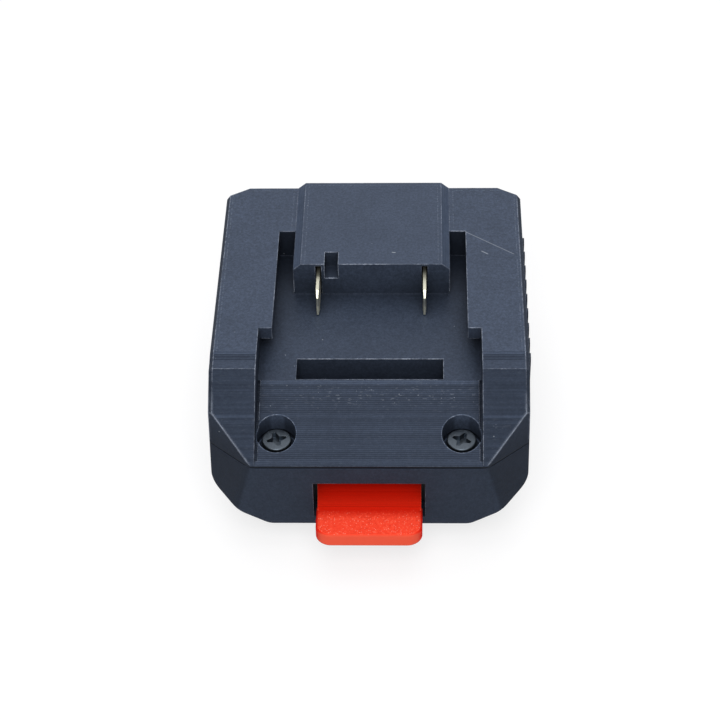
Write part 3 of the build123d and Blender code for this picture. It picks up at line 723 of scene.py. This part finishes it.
def lit_button_nose(s, spot):
    """The front of the lip, where painted light makes it paler."""
    return s.times(s.rise(spot.facing[1], -0.35, -0.8), s.fall_past(spot.y, FRONT_Y, NOSE_SPAN))


def button_shade(s, spot):
    """Painted shade: darker towards the window, darker still up the plate that rises in it, and darker in
    corners.
    """
    window_low, window_high = (FRONT_Y + length for length in WINDOW_SPAN)
    inside = s.ramp(spot.y, window_low, window_high, 1.0, WINDOW_TONE)
    risen = s.ramp(spot.z, *BUTTON_RISE, *PLATE_TONES)
    inside = s.shift(inside, s.sub(risen, 1.0), s.rise_past(spot.y, FRONT_Y, PLATE_SPAN))
    return s.times(s.ramp(s.openness(BUTTON_REACH, CORNER_SAMPLES), *BUTTON_SHADE), inside)


def button_plastic():
    """Printed red: smooth above and in front, rough and sparkling on the top of the lip."""
    s = Shader("button_plastic")
    spot = Spot(s)
    height, tone = layer_marks(s, spot)
    edge, rounded = s.edges(*BUTTON_EDGE)
    ledge = button_ledge(s, spot)
    pits = s.noise(spot.place, *PIT_NOISE)
    fine = s.noise(spot.place, *GRAIN_NOISE)
    level = s.times(
        s.add(s.times(s.sub(tone, 1.0), 0.4), 1.0), button_shade(s, spot),
        s.add(1.0, s.times(s.sub(pits, PIT_MEAN), 1.1, ledge)),
        s.spread(fine, 0.3, 0.96, 1.04),
    )
    colour = s.mix(s.fall(spot.z, *BUTTON_ROOT), BUTTON_RED, ROOT_RED)
    colour = s.shade(s.mix(ledge, colour, LEDGE_RED), level)
    # Painted light: the front of the lip is made paler and more orange.
    colour = s.mix(s.times(lit_button_nose(s, spot), 0.9), colour, LIT_NOSE_RED)
    colour = s.mix(s.times(edge, 0.5), colour, WORN_RED)
    colour = s.mix(s.times(s.rise(pits, 0.57, 0.64), ledge, 0.6), colour, CRUMB_RED)
    sparks = dust_specks(s, spot.place, *SPARKS)
    colour = s.mix(s.times(sparks, ledge, 0.6), colour, SPARK_RED)
    rough = s.add(0.55, s.times(s.sub(1.0, ledge), 0.10))
    coarse = s.add(pits, s.times(fine, 0.4))
    relief = s.add(height, s.times(coarse, s.add(s.times(ledge, 1.8), 0.10)))
    return s.surface(colour, rough, s.bump(relief, PRINT_RELIEF, rounded),
                     Specular_IOR_Level=0.16, Specular_Tint=RED_GLOSS)


# Moulded plastic and soft coverings

PALER = 2.2
PALER_FLOOR = 0.06
PLASTIC_IOR = 1.5
MOULDED_EDGE = (0.2, 0.05, 0.3)
MOULDED_GRAIN = (5.0, 3.0, 0.65)
MOULDED_PATCHES = (0.15, 3.0)
MOULDED_RELIEF = 0.012
COVERING_GRAIN = (6.0, 3.0, 0.6)
COVERING_PATCHES = 0.4


def moulded_plastic(name, colour, roughness):
    s = Shader(name)
    place, _ = s.coordinates()
    edge, rounded = s.edges(*MOULDED_EDGE)
    grain = s.noise(place, *MOULDED_GRAIN)
    broad = s.spread(s.noise(place, *MOULDED_PATCHES), 0.2, 0.93, 1.07)
    tint = s.shade(colour, s.times(broad, s.spread(grain, 0.25, 0.95, 1.05)))
    pale = tuple(min(1.0, channel * PALER + PALER_FLOOR) for channel in colour)
    tint = s.mix(s.times(edge, 0.35), tint, pale)
    rough = s.spread(grain, 0.3, roughness - 0.06, roughness + 0.06)
    return s.surface(tint, rough, s.bump(grain, MOULDED_RELIEF, rounded), IOR=PLASTIC_IOR)


def soft_covering(name, colour, roughness, relief):
    """The leads' insulation and the shrunk sleeves on their ends."""
    s = Shader(name)
    place, _ = s.coordinates()
    grain = s.noise(place, *COVERING_GRAIN)
    tint = s.shade(colour, s.spread(s.noise(place, COVERING_PATCHES), 0.2, 0.9, 1.1))
    rough = s.spread(grain, 0.3, roughness - 0.05, roughness + 0.07)
    return s.surface(tint, rough, s.bump(grain, relief), IOR=PLASTIC_IOR)


# Metals

ALONG_Y = 1
ALONG_Z = 2
ACROSS_LINES = 6.0
ALONG_LINES = 0.22
LINE_NOISE = (1.0, 3.0, 0.6)
SHEET_PATCHES = (0.25, 3.0)
SHEET_EDGE = (0.12, 0.04, 0.25)
SHEET_RELIEF = 0.008
FOOT_SPAN = (2.6, 3.4)
FOOT_LIGHT = 0.25
FOOT_ROUGHNESS = 0.14
TURNED_EDGE = (0.10, 0.03, 0.22)
SMALL_SCREW_X = 18.0
SMALL_SCREW_Y = 25.0
RING_TURNS = 38.0
RING_RELIEF = 0.4
TURNED_RELIEF = 0.006
SCREW_MOTTLE = (1.4, 4.0, 0.7)
NICK_NOISE = (3.5, 2.0, 0.6)
WIRE_STRETCH = (1.0, 1.0, 8.0)
WIRE_NOISE = (2.0, 3.0, 0.6)
WIRE_RELIEF = 0.004
INSERT_BRASS = (0.62, 0.43, 0.17)
WORN_BRASS = (0.85, 0.68, 0.36)
BRASS_MOTTLE = (1.6, 3.0, 0.6)
KNURL_TURNS = 15.0
KNURL_SLANT = 0.8
KNURL_RELIEF = 0.02


def sheet_metal(name, colour, bright, roughness, along):
    """Rolled and stamped sheet, with fine lines and rub marks that run along one axis."""
    s = Shader(name)
    place, _ = s.coordinates()
    edge, rounded = s.edges(*SHEET_EDGE)
    shares = [ACROSS_LINES, ACROSS_LINES, ACROSS_LINES]
    shares[along] = ALONG_LINES
    lines = s.noise(s.stretched(place, tuple(shares)), *LINE_NOISE)
    broad = s.noise(place, *SHEET_PATCHES)
    rub = s.times(s.rise(lines, 0.52, 0.64), s.rise(broad, 0.42, 0.6))
    tint = s.shade(colour, s.spread(broad, 0.2, 0.90, 1.08))
    tint = s.shade(tint, s.spread(lines, 0.25, 0.92, 1.06))
    tint = s.mix(s.highest(s.times(edge, 0.8), s.times(rub, 0.35)), tint, bright)
    # Painted light: the blades are paler near their foot.
    foot = s.fall_past(s.apart(place)[2], FLOOR_Z, FOOT_SPAN)
    tint = s.shade(tint, s.add(1.0, s.times(foot, FOOT_LIGHT)))
    rough = s.spread(broad, 0.2, roughness - 0.05, roughness + 0.07)
    rough = s.add(rough, s.times(lines, 0.06), s.times(foot, FOOT_ROUGHNESS))
    return s.surface(tint, rough, s.bump(lines, SHEET_RELIEF, rounded), Metallic=1.0)


def screw_metal(name, colour, bright, roughness, screw_x, screw_y, wear):
    """Turned metal: fine rings round a place on each side, and wear on the edges of the recess."""
    s = Shader(name)
    place, _ = s.coordinates()
    x, y, _ = s.apart(place)
    edge, rounded = s.edges(*TURNED_EDGE)
    from_x = s.sub(s.unsigned(x), screw_x)
    radius = s.vector("LENGTH", s.together(from_x, s.sub(y, screw_y), 0.0))
    rings = s.math("SINE", s.times(radius, RING_TURNS))
    mottle = s.noise(place, *SCREW_MOTTLE)
    nicks = s.rise(s.noise(place, *NICK_NOISE), 0.56, 0.64)
    tint = s.shade(colour, s.spread(mottle, 0.25, 0.85, 1.15))
    tint = s.mix(s.times(edge, nicks, wear), tint, bright)
    rough = s.spread(mottle, 0.3, roughness - 0.06, roughness + 0.08)
    relief = s.add(s.times(rings, RING_RELIEF), mottle)
    return s.surface(tint, rough, s.bump(relief, TURNED_RELIEF, rounded), Metallic=1.0)


def wire_metal(name, colour, roughness):
    s = Shader(name)
    place, _ = s.coordinates()
    drawn = s.noise(s.stretched(place, WIRE_STRETCH), *WIRE_NOISE)
    tint = s.shade(colour, s.spread(drawn, 0.25, 0.88, 1.1))
    rough = s.spread(drawn, 0.3, roughness - 0.05, roughness + 0.08)
    return s.surface(tint, rough, s.bump(drawn, WIRE_RELIEF), Metallic=1.0)


def knurled_brass(name):
    """Threaded inserts, with fine slanting knurls round each one."""
    s = Shader(name)
    place, _ = s.coordinates()
    x, _, z = s.apart(place)
    edge, rounded = s.edges(*TURNED_EDGE)
    mottle = s.noise(place, *BRASS_MOTTLE)
    slant = s.add(s.unsigned(x), s.times(z, KNURL_SLANT))
    knurl = s.math("SINE", s.times(slant, KNURL_TURNS))
    tint = s.shade(INSERT_BRASS, s.spread(mottle, 0.25, 0.85, 1.1))
    tint = s.mix(s.times(edge, 0.6), tint, WORN_BRASS)
    rough = s.spread(mottle, 0.3, 0.28, 0.42)
    return s.surface(tint, rough, s.bump(knurl, KNURL_RELIEF, rounded), Metallic=1.0)


def slot_materials():
    return {
        "housing_plastic": housing_plastic(),
        "button_plastic": button_plastic(),
        "latch_plastic": moulded_plastic("latch_plastic", (0.022, 0.023, 0.026), 0.42),
        "carrier_plastic": moulded_plastic("carrier_plastic", (0.018, 0.019, 0.022), 0.40),
        "blade_brass": sheet_metal(
            "blade_brass", (0.70, 0.69, 0.56), (0.88, 0.87, 0.78), 0.42, ALONG_Y
        ),
        "contact_brass": sheet_metal(
            "contact_brass", (0.66, 0.52, 0.30), (0.92, 0.86, 0.72), 0.28, ALONG_Z
        ),
        "insert_brass": knurled_brass("insert_brass"),
        "spring_steel": wire_metal("spring_steel", (0.50, 0.51, 0.53), 0.24),
        "small_screw_steel": screw_metal(
            "small_screw_steel", (0.42, 0.43, 0.45), (0.8, 0.8, 0.8), 0.34,
            SMALL_SCREW_X, SMALL_SCREW_Y, 0.5
        ),
        "dark_screw_steel": screw_metal(
            "dark_screw_steel", (0.105, 0.125, 0.150), (0.75, 0.78, 0.85), 0.40,
            SCREW_X, SCREW_Y, 0.9
        ),
        "lead_red": soft_covering("lead_red", (0.50, 0.018, 0.012), 0.38, 0.01),
        "lead_black": soft_covering("lead_black", (0.014, 0.014, 0.015), 0.40, 0.01),
        "sleeve_red": soft_covering("sleeve_red", (0.36, 0.014, 0.010), 0.50, 0.02),
        "sleeve_black": soft_covering("sleeve_black", (0.010, 0.010, 0.011), 0.52, 0.02),
    }


def dress_nodes(loaded, materials):
    """Every CAD node keeps its shape and takes the material of its slot."""
    slots = {part["node"]: part["material_slot"] for part in loaded["record"]["subparts"]}
    for name, node in loaded["nodes"].items():
        if not node.material_slots:
            node.data.materials.append(None)
        for slot in node.material_slots:
            slot.material = materials[slots[name]]


# Latch springs

WIRE_RADIUS = 0.2
SPRING_TURNS = 9
CLOSED_PITCH = 2.1 * WIRE_RADIUS
STEPS_PER_TURN = 32
WIRE_SIDES = 12


def coil_height(turn, height):
    """How far up the wire has come after so many turns. The two end turns lie closed."""
    if turn < 1:
        return CLOSED_PITCH * turn
    if turn > SPRING_TURNS - 1:
        return height - CLOSED_PITCH * (SPRING_TURNS - turn)
    return CLOSED_PITCH + (turn - 1) / (SPRING_TURNS - 2) * (height - 2 * CLOSED_PITCH)


def wire_ring(centre, radius, level, angle):
    """The corners of the wire's section at one place on the coil, in metres."""
    outward = Vector((math.cos(angle), math.sin(angle), 0))
    upward = Vector((0, 0, 1))
    middle = Vector((centre.x, centre.y, level)) + outward * radius
    turns = [2 * math.pi * side / WIRE_SIDES for side in range(WIRE_SIDES)]
    return [
        (middle + (outward * math.cos(turn) + upward * math.sin(turn)) * WIRE_RADIUS) / MILLI
        for turn in turns
    ]


def coil_mesh(name, centre, radius, low, height):
    """Wire wound round an upright axis, with flat ends."""
    last = SPRING_TURNS * STEPS_PER_TURN
    vertices = []
    for step in range(last + 1):
        level = low + coil_height(step / STEPS_PER_TURN, height)
        vertices += wire_ring(centre, radius, level, 2 * math.pi * step / STEPS_PER_TURN)
    faces = []
    for start in range(0, last * WIRE_SIDES, WIRE_SIDES):
        following = start + WIRE_SIDES
        for side in range(WIRE_SIDES):
            after = (side + 1) % WIRE_SIDES
            faces.append((start + side, following + side, following + after, start + after))
    faces.append(tuple(range(WIRE_SIDES)))
    faces.append(tuple(reversed(range(last * WIRE_SIDES, (last + 1) * WIRE_SIDES))))
    mesh = bpy.data.meshes.new(name)
    mesh.from_pydata(vertices, [], faces)
    mesh.polygons.foreach_set("use_smooth", [len(face) == 4 for face in faces])
    mesh.update()
    return mesh


def wind_spring(node, name, steel):
    """A spring with closed ends in the place of the CAD helix."""
    low, high = corners(node)
    centre = (low + high) / 2
    radius = (high.x - low.x) / 2 - WIRE_RADIUS
    height = high.z - low.z - 2 * WIRE_RADIUS
    mesh = coil_mesh(name, centre, radius, low.z + WIRE_RADIUS, height)
    mesh.materials.append(steel)
    spring = bpy.data.objects.new(name, mesh)
    show(spring)
    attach(spring, "housing")
    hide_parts(node)
    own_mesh(spring)


# Floor and light

WHITE = (1, 1, 1, 1)
FLOOR_HALF = 3.0
SHADOW_GREY = (0.30, 0.30, 0.305, 1)
SHADOW_GLOW = 0.74
TABLE_GREY = (0.55, 0.55, 0.55, 1)
WORLD_LIGHT = 0.20
WORLD_WHITE = 1.0
# A light is its name, its place, its width and its power.
LIGHTS = (
    ("overhead", (0.0, 0.0, 1.0), 0.8, 2.6),
    ("behind", (0.0, 0.85, 0.78), 1.2, 4.0),
    ("front", (0.0, -0.60, 0.70), 0.6, 5.6),
)


def floor_material():
    """Near white to the camera and in reflections, and a grey table to the light on the object."""
    s = Shader("floor")
    ray = s.node("ShaderNodeLightPath")
    seen = s.highest(
        ray.outputs["Is Camera Ray"], ray.outputs["Is Glossy Ray"], ray.outputs["Is Transmission Ray"]
    )
    table = s.node("ShaderNodeBsdfDiffuse", Color=TABLE_GREY)
    shadowed = s.node("ShaderNodeBsdfDiffuse", Color=SHADOW_GREY)
    glow = s.node("ShaderNodeEmission", Color=WHITE, Strength=SHADOW_GLOW)
    pale = s.node("ShaderNodeAddShader")
    s.put(pale.inputs[0], shadowed.outputs[0])
    s.put(pale.inputs[1], glow.outputs[0])
    s.finish("ShaderNodeOutputMaterial", s.blend_shaders(seen, table.outputs[0], pale.outputs[0]))
    return s.material


def lay_floor():
    low = -FLOOR_HALF
    high = FLOOR_HALF
    mesh = bpy.data.meshes.new("floor")
    mesh.from_pydata([(low, low, 0), (high, low, 0), (high, high, 0), (low, high, 0)], [], [(0, 1, 2, 3)])
    mesh.materials.append(floor_material())
    floor = bpy.data.objects.new("floor", mesh)
    show(floor)


def hang_light(name, place, size, power):
    """A round soft light that points at the object."""
    data = bpy.data.lights.new(name, "AREA")
    data.shape = "DISK"
    data.size = size
    data.energy = power
    light = bpy.data.objects.new(name, data)
    light.location = place
    light.rotation_euler = (-Vector(place)).to_track_quat("-Z", "Y").to_euler()
    show(light)


def light_world():
    """White behind the object, and a low even light on it."""
    world = bpy.data.worlds.new("world")
    bpy.context.scene.world = world
    world.use_nodes = True
    s = Shader("world", world.node_tree)
    ray = s.node("ShaderNodeLightPath")
    seen = s.highest(ray.outputs["Is Camera Ray"], ray.outputs["Is Transmission Ray"])
    soft = s.node("ShaderNodeBackground", Color=WHITE, Strength=WORLD_LIGHT)
    white = s.node("ShaderNodeBackground", Color=WHITE, Strength=WORLD_WHITE)
    s.finish("ShaderNodeOutputWorld", s.blend_shaders(seen, soft.outputs[0], white.outputs[0]))


place_camera()
bpy.context.scene.view_settings.view_transform = "Standard"
lay_floor()
light_world()
for name, place, size, power in LIGHTS:
    hang_light(name, place, size, power)
materials = slot_materials()
dress_nodes(loaded, materials)
for side in ("left", "right"):
    wind_spring("latch_spring_" + side, "latch_coil_" + side, materials["spring_steel"])
